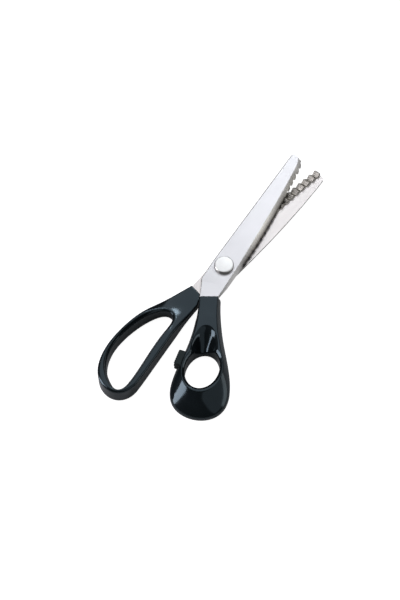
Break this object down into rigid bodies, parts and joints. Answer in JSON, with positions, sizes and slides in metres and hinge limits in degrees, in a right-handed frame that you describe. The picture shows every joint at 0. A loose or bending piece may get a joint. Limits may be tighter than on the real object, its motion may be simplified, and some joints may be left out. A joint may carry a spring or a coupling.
{
  "type": "pinking shears",
  "caption": "Pivoted shears with zigzag-toothed blades and moulded handles, a long finger loop and a teardrop thumb hole, for cutting cloth with a zigzag edge.",
  "frame": {"origin": "on the pivot axis, at the flush lower end of the pivot bolt, level with the handles' undersides", "axes": "+Z along the pivot axis from the resting side up to the bolt head, +Y along the rear blade to its tip, +X to the front handle's side"},
  "size_m": [0.0855, 0.22, 0.0136],
  "materials": {
    "blade": "bright polished nickel-plated steel, darker ground teeth",
    "hardware": "bright plated steel",
    "brass": "bare bearing brass",
    "handle": "glossy black moulded plastic",
    "rubber": "matte black ribbed rubber"
  },
  "bodies": {
    "rear_half": {"rear_blade": "blade", "rear_handle": "handle", "rear_tang_pin": "hardware", "pivot_bolt": "hardware", "pivot_nut": "hardware", "lock_washer": "hardware", "thrust_washer": "brass", "wave_washer": "hardware"},
    "front_half": {"front_blade": "blade", "front_handle": "handle", "front_tang_pin": "hardware", "pivot_bush": "brass", "thumb_bumper": "rubber"}
  },
  "joints": [
    {"name": "pivot", "type": "hinge", "parent": "rear_half", "child": "front_half", "pos_m": [0, 0, 0.007], "axis": [0, 0, 1], "range_deg": [-7, 32]}
  ]
}
